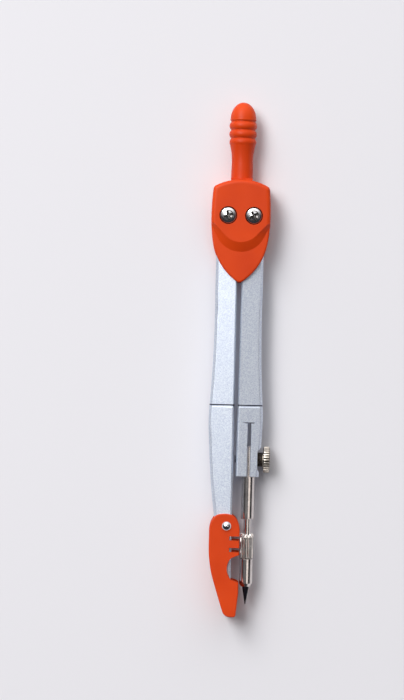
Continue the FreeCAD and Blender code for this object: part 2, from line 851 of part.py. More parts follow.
def make_holder_rod():
    body = new_body("holder_rod")
    profile = [
        ("0", "-stem_top"),
        ("0", "-rod_end + collet_tail + 0.1"),
        ("neck_radius + 0.02", "-rod_end + collet_tail + 0.1"),
        ("neck_radius + 0.02", "-rod_end"),
        ("rod_radius - 0.15", "-rod_end"),
        ("rod_radius", "-rod_end + 0.15"),
        ("rod_radius", "-lead_leg_end - 0.1"),
        ("stem_radius", "-lead_leg_end - 0.1"),
        ("stem_radius", "-stem_top - 0.3"),
        ("stem_radius - 0.3", "-stem_top"),
    ]
    turn(body, "Revolution", "turned_rod", profile)
    place(body, across="stem_across", up="stem_height")
    return body


def make_lead_collet():
    body = new_body("lead_collet")
    profile = [
        ("0", "-rod_end + collet_tail"),
        ("0", "-lead_back + 0.8"),
        ("lead_radius + 0.04", "-lead_back + 0.8"),
        ("lead_radius + 0.04", "-sleeve_end + 1.5"),
        ("jaw_radius - 0.3", "-sleeve_end + 1.5"),
        ("jaw_radius", "-sleeve_end + 2.4"),
        ("jaw_radius", "-chuck_nut_top - 0.6"),
        ("jaw_radius - 0.2", "-chuck_nut_top - 0.4"),
        ("neck_radius", "-chuck_nut_top - 0.4"),
        ("neck_radius", "-rod_end + collet_tail"),
    ]
    turn(body, "Revolution", "turned_collet", profile)
    top, bottom = "-chuck_nut_end + 1", "-sleeve_end + 0.8"
    slot = [("-0.2", top), ("-0.2", bottom), ("0.2", bottom), ("0.2", top)]
    for number, plane in enumerate(("XY_Plane", "YZ_Plane")):
        corners = slot if plane == "XY_Plane" else [(y, x) for x, y in slot]
        pocket(body, f"jaw_slot_{number}", plane, "0", THROUGH, corners, both_ways=True)
    place(body, across="stem_across", up="stem_height")
    return body


def make_chuck_nut():
    body = new_body("chuck_nut")
    profile = [
        ("jaw_radius + running_fit", "-chuck_nut_top"),
        ("jaw_radius + running_fit", "-chuck_nut_end"),
        ("chuck_nut_radius - 0.15", "-chuck_nut_end"),
        ("chuck_nut_radius", "-chuck_nut_end + 0.15"),
        ("chuck_nut_radius", "-chuck_nut_top - 0.5"),
        ("chuck_nut_radius - 0.3", "-chuck_nut_top"),
    ]
    turn(body, "Revolution", "turned_nut", profile)
    ridge = [
        ("-0.17", "chuck_nut_radius + 0.05"),
        ("0", "chuck_nut_radius - 0.2"),
        ("0.17", "chuck_nut_radius + 0.05"),
    ]
    length = "chuck_nut_end - chuck_nut_top"
    cut = pocket(body, "knurl_cut", "XZ_Plane", "chuck_nut_end - 0.5", length, ridge)
    repeat_round(body, "knurl", cut, "Y_Axis", 24)
    place(body, across="stem_across", up="stem_height")
    return body


def make_chuck_sleeve():
    body = new_body("chuck_sleeve")
    top = "-chuck_nut_end - 0.1"
    profile = [
        ("jaw_radius + running_fit", top),
        ("jaw_radius + running_fit", "-sleeve_end + 1.9"),
        ("lead_radius + 0.1", "-sleeve_end + 0.6"),
        ("lead_radius + 0.1", "-sleeve_end"),
        ("sleeve_radius - 0.65", "-sleeve_end"),
        ("sleeve_radius", "-sleeve_end + 1"),
        ("sleeve_radius", f"{top} - 0.15"),
        ("sleeve_radius - 0.15", top),
    ]
    turn(body, "Revolution", "turned_sleeve", profile)
    place(body, across="stem_across", up="stem_height")
    return body


def make_lead():
    body = new_body("lead")
    profile = [
        ("0", "-lead_back"),
        ("0", "-lead_tip"),
        ("0.12", "-lead_tip + 0.05"),
        ("lead_radius", "-sleeve_end - 0.4"),
        ("lead_radius", "-lead_back"),
    ]
    turn(body, "Revolution", "turned_lead", profile)
    place(body, across="stem_across", up="stem_height")
    return body


# ---------------------------------------------------------------- needle end


def make_needle():
    body = new_body("needle")
    profile = [
        ("0", "-needle_leg_end + needle_seat"),
        ("0", "-needle_tip"),
        ("0.06", "-needle_tip + 0.05"),
        ("needle_radius", "-needle_tip + needle_point"),
        ("needle_radius", "-needle_leg_end + needle_seat"),
    ]
    turn(body, "Revolution", "turned_needle", profile)
    place(body, across="-needle_across", up="stem_height")
    return body


def make_cover_rivet():
    body = new_body("cover_rivet")
    profile = [
        ("0", "guard_back + 0.05"),
        ("rivet_radius + 0.45", "guard_back + 0.05"),
        ("rivet_radius + 0.45", "guard_back + 0.5"),
        ("rivet_radius", "guard_back + 0.6"),
        ("rivet_radius", "guard_front + 0.02"),
        ("rivet_radius + 0.55", "guard_front + 0.02"),
        ("rivet_radius + 0.55", "guard_front + 0.22", dome("rivet_radius + 0.55", "0.73")),
        ("0", "guard_front + 0.95"),
    ]
    turn(body, "Revolution", "turned_rivet", profile, plane="XZ_Plane")
    place(body, across="-rivet_across", along="-rivet_at")
    return body


def make_needle_cover():
    body = new_body("needle_cover")
    outline = [
        ("-guard_side", "-rivet_at - 1.7"),
        ("-guard_side", "-rivet_at - 6.6", "18"),
        ("-guard_side + 1.8", "-guard_tip + 10.7", "1.4"),
        ("-guard_side + 4.7", "-guard_tip + 1.7", "72.4"),
        ("-guard_side + 7.1", "-guard_tip"),
        ("0.7", "-guard_tip", "84.5"),
        ("1.5", "-guard_tip + 0.72"),
        ("guard_right", "-guard_tip + 7.3"),
        ("guard_right", "-rivet_at - 1.5", "34"),
        ("guard_right - 1.15", "-rivet_at + 2.35", "42"),
        ("guard_right - 2.95", "-rivet_at + 3.61", "28"),
        ("-guard_side + 2.95", "-rivet_at + 3.61", "42"),
        ("-guard_side + 1.15", "-rivet_at + 2.35", "34"),
    ]
    blank = pad(
        body, "blank", "XY_Plane", "guard_back", "guard_front - guard_back", outline
    )
    heights = (value("guard_back"), value("guard_front"))
    dress(
        body, "Fillet", "edge_rounding", blank, "0.4",
        lambda edge: any(level_edge(height)(edge) for height in heights),
    )
    channel = [
        ("guard_side", "-rivet_at + 7"),
        ("-guard_side - 4", "-rivet_at + 7"),
        ("-guard_side - 4", "-rivet_at - 9"),
        ("-guard_side + guard_wall + 0.05", "-rivet_at - 9", "14.7"),
        ("-guard_side + guard_wall + 1.85", "-guard_tip + 10.9", "1.3"),
        ("-guard_side + guard_wall + 4.5", "-guard_tip + guard_wall + 1.05", "82.8"),
        ("-guard_side + guard_wall + 5.6", "-guard_tip + guard_wall"),
        ("guard_side", "-guard_tip + guard_wall"),
    ]
    pocket(
        body, "channel", "XY_Plane", "leg_front + guard_clearance",
        "leg_thickness + 2 * guard_clearance", channel,
    )
    for number in range(2):
        at = f"-rivet_at - slot_at - {number} * slot_pitch"
        slot = [
            ("-1.05", f"{at} - slot_height / 2"),
            ("guard_right + 1", f"{at} - slot_height / 2"),
            ("guard_right + 1", f"{at} + slot_height / 2"),
            ("-1.05", f"{at} + slot_height / 2"),
        ]
        pocket(body, f"slot_{number}", "XY_Plane", "0", THROUGH, slot, reverse=True)
    notch = [
        ("guard_right + 1", "-rivet_at - 8.8"),
        ("guard_right - 0.3", "-rivet_at - 9"),
        ("-0.3", "-rivet_at - 9.9", "86"),
        ("-0.3", "-guard_tip + 11.8"),
        ("guard_right - 0.8", "-guard_tip + 11.2"),
        ("guard_right + 1", "-guard_tip + 10.4"),
    ]
    pocket(body, "notch", "XY_Plane", "0", THROUGH, notch, reverse=True)
    bore = [("-rivet_across", "-rivet_at", "rivet_radius + running_fit")]
    round_pocket(body, "rivet_bore", "XY_Plane", "0", THROUGH, bore, reverse=True)
    seat = [("-rivet_across", "-rivet_at", "rivet_radius + 0.55")]
    round_pocket(body, "tail_seat", "XY_Plane", "guard_back", "0.62", seat, reverse=True)
    return body


def build():
    fill_sheet()
    parts = [
        make_grip(),
        make_rear_cover(),
        make_front_cover(),
        make_pivot_screw("left_pivot_screw", -1, "left_screw_turn"),
        make_pivot_screw("right_pivot_screw", 1, "right_screw_turn"),
        make_pivot_nut("left_pivot_nut", -1),
        make_pivot_nut("right_pivot_nut", 1),
        make_spring_washer("left_spring_washer", -1),
        make_spring_washer("right_spring_washer", 1),
        make_needle_leg(),
        make_lead_leg(),
        make_clamp_screw(),
        make_thumb_wheel(),
        make_holder_rod(),
        make_lead_collet(),
        make_chuck_nut(),
        make_chuck_sleeve(),
        make_lead(),
        make_needle(),
        make_cover_rivet(),
        make_needle_cover(),
    ]
    doc.recompute()
    broken = [item.Name for item in doc.Objects if {"Invalid", "Error"} & set(item.State)]
    if broken:
        raise RuntimeError(f"did not build: {broken}")
    os.makedirs("parts", exist_ok=True)
    for item in parts:
        shape = item.Shape
        if shape.isNull() or not shape.isValid() or not shape.Solids:
            raise RuntimeError(f"{item.Label} has no valid solid")
        shape.exportStep(f"parts/{item.Label}.step")
        print(item.Label, len(shape.Solids), round(shape.Volume, 3))


build()
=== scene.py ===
import math

import bmesh
import bpy
import numpy as np
from mathutils import Matrix, Vector


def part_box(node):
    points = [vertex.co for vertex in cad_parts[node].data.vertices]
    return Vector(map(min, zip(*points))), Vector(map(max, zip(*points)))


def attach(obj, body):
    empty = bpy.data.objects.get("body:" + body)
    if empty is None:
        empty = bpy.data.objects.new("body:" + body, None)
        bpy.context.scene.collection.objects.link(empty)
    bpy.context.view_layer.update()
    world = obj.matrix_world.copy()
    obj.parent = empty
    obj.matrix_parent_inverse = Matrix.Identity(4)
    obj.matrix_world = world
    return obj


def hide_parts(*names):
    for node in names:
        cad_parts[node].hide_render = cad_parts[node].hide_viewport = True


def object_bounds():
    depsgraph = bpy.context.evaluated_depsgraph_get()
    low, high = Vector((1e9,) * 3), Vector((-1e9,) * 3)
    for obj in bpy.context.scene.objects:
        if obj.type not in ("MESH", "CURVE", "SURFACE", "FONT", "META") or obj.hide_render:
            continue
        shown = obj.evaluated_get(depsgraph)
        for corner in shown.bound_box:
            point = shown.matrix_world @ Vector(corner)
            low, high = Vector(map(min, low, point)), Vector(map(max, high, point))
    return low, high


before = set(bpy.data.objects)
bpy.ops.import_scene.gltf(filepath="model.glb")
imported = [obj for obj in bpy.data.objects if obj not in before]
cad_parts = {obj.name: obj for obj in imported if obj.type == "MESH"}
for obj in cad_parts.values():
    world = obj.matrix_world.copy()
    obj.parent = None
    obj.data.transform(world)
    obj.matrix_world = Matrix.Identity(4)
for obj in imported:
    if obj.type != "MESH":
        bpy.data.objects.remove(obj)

cadLow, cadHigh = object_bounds()
mm = 0.001
twoPi = 2 * math.pi
xAxis, yAxis, zAxis = range(3)
# corners nearer to each other than this are welded
weldWithin = {"solid": 0.001 * mm, "grid": 0.0005 * mm}


def newMaterial(name):
    material = bpy.data.materials.new(name)
    material.use_nodes = True
    tree = material.node_tree
    shader = tree.nodes["Principled BSDF"]
    return material, tree, shader


def addNode(tree, kind, inputs=None, **settings):
    node = tree.nodes.new(kind)
    for key, setting in settings.items():
        setattr(node, key, setting)
    for key, value in (inputs or {}).items():
        if isinstance(value, bpy.types.NodeSocket):
            tree.links.new(value, node.inputs[key])
        else:
            node.inputs[key].default_value = value
    return node


# the point on the piece, in metres from the frame's origin at rest
def point(tree):
    return addNode(tree, "ShaderNodeTexCoord").outputs["Object"]


# where the point is along one axis
def pointAlong(tree, axis):
    return addNode(tree, "ShaderNodeSeparateXYZ", {0: point(tree)}).outputs[axis]


# the point, stretched by a scale along each axis
def place(tree, scale=(1, 1, 1)):
    mapping = addNode(tree, "ShaderNodeMapping", {"Vector": point(tree)})
    mapping.inputs["Scale"].default_value = scale
    return mapping.outputs["Vector"]


# noise whose waves are about a size in metres, with finer waves over them up to the detail
def noise(tree, where, size, detail, roughness=0.5):
    node = addNode(tree, "ShaderNodeTexNoise", {"Vector": where, "Scale": 1 / size,
                   "Detail": detail, "Roughness": roughness})
    return node.outputs["Fac"]


# a value that runs from low to high as the input runs from start to end
def spread(tree, value, low, high, start=0.0, end=1.0):
    node = addNode(tree, "ShaderNodeMapRange", {"Value": value, "From Min": start,
                   "From Max": end, "To Min": low, "To Max": high})
    return node.outputs["Result"]


# the first colour where the factor is 0 and the second where it is 1
def blendColours(tree, factor, first, second):
    # a Mix node's colours are its inputs 6 and 7 and its output 2
    node = addNode(tree, "ShaderNodeMix", data_type="RGBA")
    for index, value in ((0, factor), (6, first), (7, second)):
        if isinstance(value, bpy.types.NodeSocket):
            tree.links.new(value, node.inputs[index])
        else:
            node.inputs[index].default_value = value if index == 0 else (*value, 1)
    return node.outputs[2]


def calculate(tree, operation, first, second=0.0):
    return addNode(tree, "ShaderNodeMath", {0: first, 1: second}, operation=operation).outputs[0]


def calculateVector(tree, operation, first, second):
    return addNode(tree, "ShaderNodeVectorMath", {0: first, 1: second},
                   operation=operation).outputs[0]


# the sum of a share of the first value and the rest of the second
def mixed(tree, share, first, second):
    return calculate(tree, "ADD", calculate(tree, "MULTIPLY", first, share),
                     calculate(tree, "MULTIPLY", second, 1 - share))


def bump(tree, height, depth, below=None):
    inputs = {"Height": height, "Distance": depth, "Strength": 1.0}
    if below is not None:
        inputs["Normal"] = below
    return addNode(tree, "ShaderNodeBump", inputs).outputs["Normal"]


def connect(tree, output, shader, socket):
    tree.links.new(output, shader.inputs[socket])


# in every look, a band is the stretch of a noise's values over which one tone turns into
# the other, and the roughness is given by its least and its most
plasticLook = {
    "colour": (0.70, 0.060, 0.005),
    "deepColour": (0.61, 0.047, 0.004),
    "cloudSize": 14 * mm,
    "cloudBand": (0.35, 0.65),
    "grainSize": 0.13 * mm,
    "grainDepth": 0.005 * mm,
    "waveSize": 3.2 * mm,
    "waveDepth": 0.02 * mm,
    "rubSize": 0.7 * mm,
    "waveShare": 0.6,
    "roughness": (0.36, 0.50),
    "glossBand": (0.35, 0.65),
    "shine": 0.2,
    "refraction": 1.49,
}


# moulded satin plastic: two close oranges in soft clouds, a fine spark-eroded grain over
# faint sink waves, and a gloss that wanders with the waves and with small rubbed spots
def mouldedPlastic(name, look):
    material, tree, shader = newMaterial(name)
    where = place(tree)
    clouds = noise(tree, where, look["cloudSize"], detail=2)
    colour = blendColours(tree, spread(tree, clouds, 0, 1, *look["cloudBand"]),
                          look["colour"], look["deepColour"])
    connect(tree, colour, shader, "Base Color")
    grain = noise(tree, where, look["grainSize"], detail=4, roughness=0.6)
    waves = noise(tree, where, look["waveSize"], detail=3)
    rubs = noise(tree, where, look["rubSize"], detail=5, roughness=0.7)
    gloss = mixed(tree, look["waveShare"], waves, rubs)
    connect(tree, spread(tree, gloss, *look["roughness"], *look["glossBand"]), shader,
            "Roughness")
    sinks = bump(tree, waves, look["waveDepth"])
    connect(tree, bump(tree, grain, look["grainDepth"], sinks), shader, "Normal")
    shader.inputs["Specular IOR Level"].default_value = look["shine"]
    shader.inputs["IOR"].default_value = look["refraction"]
    return material


lacquerLook = {
    "light": (0.87, 0.93, 1.0),
    "dark": (0.575, 0.635, 0.78),
    "flakeSize": 0.09 * mm,
    "flakeShare": 0.3,
    "mottleSize": 0.42 * mm,
    "speckleBand": (0.33, 0.67),
    "tilt": 0.09,
    "roughness": (0.32, 0.42),
    "peelSize": 0.7 * mm,
    "peelDepth": 0.006 * mm,
    # painted shade: the dark tone in the cross groove's upper half, where it lies, its half width
    # and its fade
    "darkening": (0.075, 0.08, 0.13),
    "paintedShadeAt": -59.13 * mm,
    "paintedShadeHalf": 0.2 * mm,
    "paintedShadeFade": 0.06 * mm,
    "metal": 0.85,
    "coat": 0.15,
    "coatRoughness": 0.18,
}


# sparkling silver lacquer: every flake is a cell with its own tone and its own small tilt,
# under a thin clear coat with a slight orange peel; a dark tone across the cross groove's upper
# half is painted shade
def silverLacquer(name, look):
    material, tree, shader = newMaterial(name)
    where = place(tree)
    flakes = addNode(tree, "ShaderNodeTexVoronoi", {"Vector": where,
                     "Scale": 1 / look["flakeSize"]})
    tone = addNode(tree, "ShaderNodeSeparateColor", {0: flakes.outputs["Color"]}).outputs[0]
    mottle = noise(tree, where, look["mottleSize"], detail=3)
    speckle = mixed(tree, look["flakeShare"], tone, mottle)
    colour = blendColours(tree, spread(tree, speckle, 0, 1, *look["speckleBand"]),
                          look["dark"], look["light"])
    # painted shade: a darker tone across the cross groove's upper half
    off = calculate(tree, "ABSOLUTE", calculate(tree, "SUBTRACT", pointAlong(tree, yAxis),
                                                look["paintedShadeAt"]))
    paintedGrooveShade = spread(tree, off, 1, 0, look["paintedShadeHalf"] - look["paintedShadeFade"],
                    look["paintedShadeHalf"] + look["paintedShadeFade"])
    connect(tree, blendColours(tree, paintedGrooveShade, colour, look["darkening"]), shader, "Base Color")
    connect(tree, spread(tree, tone, *look["roughness"]), shader, "Roughness")
    peel = bump(tree, noise(tree, where, look["peelSize"], detail=2), look["peelDepth"])
    centred = calculateVector(tree, "SUBTRACT", flakes.outputs["Color"], (0.5, 0.5, 0.5))
    tilt = calculateVector(tree, "MULTIPLY", centred, (look["tilt"],) * 3)
    leaned = calculateVector(tree, "ADD", peel, tilt)
    facing = addNode(tree, "ShaderNodeVectorMath", {0: leaned}, operation="NORMALIZE").outputs[0]
    connect(tree, facing, shader, "Normal")
    shader.inputs["Metallic"].default_value = look["metal"]
    shader.inputs["Coat Weight"].default_value = look["coat"]
    shader.inputs["Coat Roughness"].default_value = look["coatRoughness"]
    return material


# the band of every turned metal's clouds and haze
turnedBand = (0.3, 0.7)
# the rings' noise takes this share of a point's distance across the turning axis
ringStretch = 0.02


# plated or turned metal: fine rings round the turning axis, a light haze of handling
# marks in the gloss, and a tint that clouds a little
def turnedMetalNodes(tree, shader, look, axis):
    where = place(tree)
    clouds = noise(tree, where, look["cloudSize"], detail=3)
    connect(tree, blendColours(tree, spread(tree, clouds, 0, 1, *turnedBand), look["colour"],
                               look["tarnish"]), shader, "Base Color")
    haze = noise(tree, where, look["hazeSize"], detail=5, roughness=0.65)
    connect(tree, spread(tree, haze, *look["roughness"], *turnedBand), shader, "Roughness")
    scale = [1.0, 1.0, 1.0]
    if axis is not None:
        scale = [ringStretch, ringStretch, ringStretch]
        scale[axis] = 1.0
    rings = noise(tree, place(tree, scale), look["ringSize"], detail=2)
    connect(tree, bump(tree, rings, look["ringDepth"]), shader, "Normal")
    shader.inputs["Metallic"].default_value = 1.0


def turnedMetal(name, look, axis=None):
    material, tree, shader = newMaterial(name)
    turnedMetalNodes(tree, shader, look, axis)
    return material


chromeLook = {
    "colour": (0.90, 0.90, 0.91), "tarnish": (0.80, 0.80, 0.82), "cloudSize": 3 * mm,
    "hazeSize": 0.4 * mm, "roughness": (0.05, 0.13), "ringSize": 0.06 * mm,
    "ringDepth": 0.0005 * mm,
}
screwLook = {
    "colour": (0.93, 0.92, 0.93), "tarnish": (0.80, 0.79, 0.80), "cloudSize": 1.2 * mm,
    "hazeSize": 0.35 * mm, "roughness": (0.12, 0.26), "ringSize": 0.06 * mm,
    "ringDepth": 0.0008 * mm,
}
zincLook = {
    "colour": (0.62, 0.62, 0.64), "tarnish": (0.46, 0.46, 0.48), "cloudSize": 1.5 * mm,
    "hazeSize": 0.25 * mm, "roughness": (0.22, 0.4), "ringSize": 0.08 * mm,
    "ringDepth": 0.002 * mm,
}
needleLook = {
    "colour": (0.58, 0.58, 0.6), "tarnish": (0.48, 0.48, 0.51), "cloudSize": 2 * mm,
    "hazeSize": 0.2 * mm, "roughness": (0.14, 0.26), "ringSize": 0.05 * mm,
    "ringDepth": 0.001 * mm,
}
brassLook = {
    "colour": (0.93, 0.86, 0.77), "tarnish": (0.78, 0.70, 0.60), "cloudSize": 1.2 * mm,
    "hazeSize": 0.2 * mm, "roughness": (0.26, 0.38), "ringSize": 0.06 * mm,
    "ringDepth": 0.001 * mm,
}
nutLook = {
    "colour": (0.95, 0.90, 0.86), "tarnish": (0.80, 0.74, 0.70), "cloudSize": 1.5 * mm,
    "hazeSize": 0.2 * mm, "roughness": (0.14, 0.26), "ringSize": 0.07 * mm,
    "ringDepth": 0.0008 * mm,
}
nickelLook = {
    "colour": (0.74, 0.69, 0.66), "tarnish": (0.58, 0.53, 0.51), "cloudSize": 2.5 * mm,
    "hazeSize": 0.3 * mm, "roughness": (0.10, 0.22), "ringSize": 0.07 * mm,
    "ringDepth": 0.0008 * mm,
}
graphiteLook = {
    "colour": (0.003, 0.002, 0.004), "streak": (0.016, 0.013, 0.020), "streakBand": (0.35, 0.7),
    "streakSize": 0.12 * mm, "streakStretch": (0.1, 1, 0.1), "roughness": (0.34, 0.52),
    "ringSize": 0.05 * mm, "ringStretch": (0.05, 1, 0.05), "ringDepth": 0.006 * mm,
    "metal": 0.25, "shine": 0.22,
}


# graphite: near black with greyer streaks round the lead, fine rings and a dull metal sheen
def graphite(name, look):
    material, tree, shader = newMaterial(name)
    streaks = noise(tree, place(tree, look["streakStretch"]), look["streakSize"], detail=4)
    colour = blendColours(tree, spread(tree, streaks, 0, 1, *look["streakBand"]),
                          look["colour"], look["streak"])
    connect(tree, colour, shader, "Base Color")
    connect(tree, spread(tree, streaks, *look["roughness"]), shader, "Roughness")
    rings = noise(tree, place(tree, look["ringStretch"]), look["ringSize"], detail=2)
    connect(tree, bump(tree, rings, look["ringDepth"]), shader, "Normal")
    shader.inputs["Metallic"].default_value = look["metal"]
    shader.inputs["Specular IOR Level"].default_value = look["shine"]
    return material


# a turned piece's middle, its half length along the axis and its radius
def turnedSizes(node, axis):
    low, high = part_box(node)
    radius = (high[axis - 1] - low[axis - 1]) / 2
    return (low + high) / 2, (high[axis] - low[axis]) / 2, radius


# each darkening's colour, the least share of it in a thin patch, and where it lies: a dark brown
# colour in the screw recesses, a painted shadow in the screw seats and painted shade in the
# knurls
screwRecessDarkening = {
    "colour": (0.045, 0.032, 0.020), "least": 0.6, "radius": 1.62 * mm, "fade": 0.08 * mm,
    "depth": 0.20 * mm, "shallowest": 0.12 * mm,
}
# painted shadow: a dark ring in the cover round each screw head
seatPaintedShadow = {
    "colour": (0.03, 0.006, 0.004), "least": 0.8, "inner": 2.2 * mm, "outer": 2.8 * mm,
    "fade": 0.1 * mm,
}
beyondPiece = 9 * mm
# painted shade: dark in the thumb wheel's grooves and all round its hub
wheelPaintedShade = {
    "colour": (0.045, 0.034, 0.028), "least": 0.88, "depth": 0.10 * mm, "fade": 0.10 * mm,
    "deepest": 0.5 * mm, "ends": (-0.25 * mm, beyondPiece),
}
# painted shade: dark in the chuck nut's grooves
nutPaintedShade = {
    "colour": (0.030, 0.024, 0.022), "least": 0.8, "depth": 0.09 * mm, "fade": 0.08 * mm,
    "deepest": beyondPiece, "ends": (-beyondPiece, 2.7 * mm),
}
darkeningPatches = {"size": 0.35 * mm, "band": (0.3, 0.6), "rougher": 0.4}


# blends a dark dull colour over a finish wherever the share is high, in uneven patches; it paints
# shadow and shade in the screw seats and the knurls, and a dark brown colour in the screw
# recesses
def addDarkening(tree, shader, share, darkening):
    uneven = noise(tree, place(tree), darkeningPatches["size"], detail=3)
    patches = spread(tree, uneven, darkening["least"], 1, *darkeningPatches["band"])
    patchy = calculate(tree, "MULTIPLY", share, patches)
    undarkened = shader.inputs["Base Color"].links[0].from_socket
    dull = shader.inputs["Roughness"].links[0].from_socket
    connect(tree, blendColours(tree, patchy, undarkened, darkening["colour"]), shader, "Base Color")
    rougher = calculate(tree, "MULTIPLY", patchy, darkeningPatches["rougher"])
    connect(tree, calculate(tree, "ADD", dull, rougher), shader, "Roughness")


# the distance of a point from a line along one axis through a node's middle
def distanceFrom(tree, node, axis):
    middle = (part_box(node)[0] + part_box(node)[1]) / 2
    offset = calculateVector(tree, "SUBTRACT", point(tree), tuple(middle))
    flat = [1.0, 1.0, 1.0]
    flat[axis] = 0.0
    across = calculateVector(tree, "MULTIPLY", offset, tuple(flat))
    return addNode(tree, "ShaderNodeVectorMath", {0: across}, operation="LENGTH").outputs["Value"]


# a dark brown colour in a screw's cross recess: where a point lies inside the radius round the
# screw's axis, from none at the shallowest under the head's top to all of it at the depth
def screwWithDarkRecess(name, node, look, darkening):
    material, tree, shader = newMaterial(name)
    turnedMetalNodes(tree, shader, look, None)
    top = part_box(node)[1].z
    inside = spread(tree, distanceFrom(tree, node, zAxis), 1, 0, darkening["radius"],
                    darkening["radius"] + darkening["fade"])
    deep = spread(tree, pointAlong(tree, zAxis), 1, 0, top - darkening["depth"],
                  top - darkening["shallowest"])
    addDarkening(tree, shader, calculate(tree, "MULTIPLY", inside, deep), darkening)
    return material


# painted shadow in the seat round each screw: where a point's distance from the screw's axis lies
# between the inner and the outer radius
def coverWithPaintedSeatShadow(name, screws, look, darkening):
    material = mouldedPlastic(name, look)
    tree = material.node_tree
    shader = tree.nodes["Principled BSDF"]
    for screw in screws:
        away = distanceFrom(tree, screw, zAxis)
        outside = spread(tree, away, 0, 1, darkening["inner"] - darkening["fade"], darkening["inner"])
        inside = spread(tree, away, 1, 0, darkening["outer"] - darkening["fade"], darkening["outer"])
        addDarkening(tree, shader, calculate(tree, "MULTIPLY", outside, inside), darkening)
    return material


# painted shade between a knurled piece's ridges, where a point lies more than the depth under the
# crests, and less than the deepest, measured from the piece's own axis, and all round it
# below the lower end; none lies past the upper end
def knurlWithPaintedShade(name, node, look, axis, darkening):
    material, tree, shader = newMaterial(name)
    turnedMetalNodes(tree, shader, look, axis)
    middle, _, crest = turnedSizes(node, axis)
    away = distanceFrom(tree, node, axis)
    deep = spread(tree, away, 1, 0, crest - darkening["depth"] - darkening["fade"], crest - darkening["depth"])
    near = spread(tree, away, 0, 1, crest - darkening["deepest"] - darkening["fade"],
                  crest - darkening["deepest"])
    along = pointAlong(tree, axis)
    low, high = (middle[axis] + end for end in darkening["ends"])
    below = spread(tree, along, 1, 0, low - darkening["fade"], low)
    notPast = spread(tree, along, 1, 0, high - darkening["fade"], high)
    share = calculate(tree, "MAXIMUM", calculate(tree, "MULTIPLY", deep, near),
                      calculate(tree, "MULTIPLY", deep, below))
    addDarkening(tree, shader, calculate(tree, "MULTIPLY", share, notPast), darkening)
    return material


orange = mouldedPlastic("orangePlastic", plasticLook)
# the cover gets a painted shadow round each screw head
coverOrange = coverWithPaintedSeatShadow("coverOrange", ("left_pivot_screw", "right_pivot_screw"),
                          plasticLook, seatPaintedShadow)
lacquer = silverLacquer("silverLacquer", lacquerLook)
chrome = turnedMetal("polishedChrome", chromeLook)
leftScrewChrome = screwWithDarkRecess("leftScrewChrome", "left_pivot_screw", screwLook, screwRecessDarkening)
rightScrewChrome = screwWithDarkRecess("rightScrewChrome", "right_pivot_screw", screwLook, screwRecessDarkening)
zinc = turnedMetal("zincPlate", zincLook)
needleSteel = turnedMetal("needleSteel", needleLook, yAxis)
# the thumb wheel and the chuck nut get painted shade in their grooves
wheelBrass = knurlWithPaintedShade("wheelBrass", "thumb_wheel", brassLook, xAxis, wheelPaintedShade)
nutNickel = knurlWithPaintedShade("nutNickel", "chuck_nut", nutLook, yAxis, nutPaintedShade)
holderNickel = turnedMetal("holderNickel", nickelLook, yAxis)
leadGraphite = graphite("leadGraphite", graphiteLook)
print("finishes made")


# welds a grid's shut ends, turns its faces outwards and shades it smooth but for edges that
# turn by more than the sharp angle in degrees
def finishMesh(piece, sharpAngle):
    mesh = piece.data
    work = bmesh.new()
    work.from_mesh(mesh)
    bmesh.ops.remove_doubles(work, verts=work.verts, dist=weldWithin["grid"])
    bmesh.ops.recalc_face_normals(work, faces=work.faces)
    work.to_mesh(mesh)
    work.free()
    mesh.shade_smooth()
    mesh.set_sharp_from_angle(angle=math.radians(sharpAngle))


def addPiece(name, mesh, body, slot, material, *replaced):
    piece = bpy.data.objects.new(name, mesh)
    bpy.context.scene.collection.objects.link(piece)
    mesh.materials.clear()
    mesh.materials.append(material)
    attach(piece, body)
    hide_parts(*replaced)
    return piece


# a grid of points closed round its second direction: rows of quads, the ends left to
# rows that shrink to a point, or joined to each other where the body has a bore
def gridMesh(name, points, bored):
    rows, columns = points.shape[:2]
    index = np.arange(rows * columns).reshape(rows, columns)
    after = np.roll(index, -1, axis=1)
    below, belowAfter = np.roll(index, -1, axis=0), np.roll(after, -1, axis=0)
    last = rows if bored else rows - 1
    quads = np.stack((index, after, belowAfter, below), axis=-1)[:last]
    mesh = bpy.data.meshes.new(name)
    mesh.from_pydata(points.reshape(-1, 3).tolist(), [], quads.reshape(-1, 4).tolist())
    return mesh


# a body of revolution whose radius may change with the angle: each point stands at
# centre + axis * height + (side * cos + up * sin) * radius(angle, height)
def roundSurface(name, centre, axis, heights, radii, angles, bored=False):
    along, side, up = np.eye(3)[axis], np.eye(3)[axis - 2], np.eye(3)[axis - 1]
    turn = np.cos(angles)[..., None] * side + np.sin(angles)[..., None] * up
    points = np.array(centre) + heights[..., None] * along + turn * radii[..., None]
    return gridMesh(name, points, bored)


# twice a value's distance from the nearest whole number: 0 at a whole number and 1 half way
def zigzag(value):
    return 1 - 2 * np.abs(value - np.floor(value) - 0.5)


# V grooves that take a share of every turn of the value: 0 on a ridge and 1 at a groove's foot
def grooves(value, share):
    return np.clip((zigzag(value) - 1 + share) / share, 0, 1)


legEdge = {
    "width": 0.28 * mm, "others": 0.5, "grooveAt": -59.4 * mm, "grooveHalf": 0.3 * mm,
    "clampLineAt": -66.12 * mm, "clampLineHalf": 0.2 * mm, "coveredTo": -27 * mm,
    "recessCorner": (7.1 * mm, -80.8 * mm), "segments": 2, "smallestTurn": 32, "flatTurn": 0.4,
}


# whether an edge gets broken: not near the clamp's fine line, nor under the covers, nor at
# the corner where the wheel's recess runs out at the leg's end
def isBroken(edge, size):
    ends = [corner.co.y for corner in edge.verts]
    fromLine = min(abs(end - size["clampLineAt"]) for end in ends)
    across, along = size["recessCorner"]
    runsOut = any(corner.co.x > across and corner.co.y < along for corner in edge.verts)
    return max(ends) < size["coveredTo"] and fromLine > size["clampLineHalf"] and not runsOut


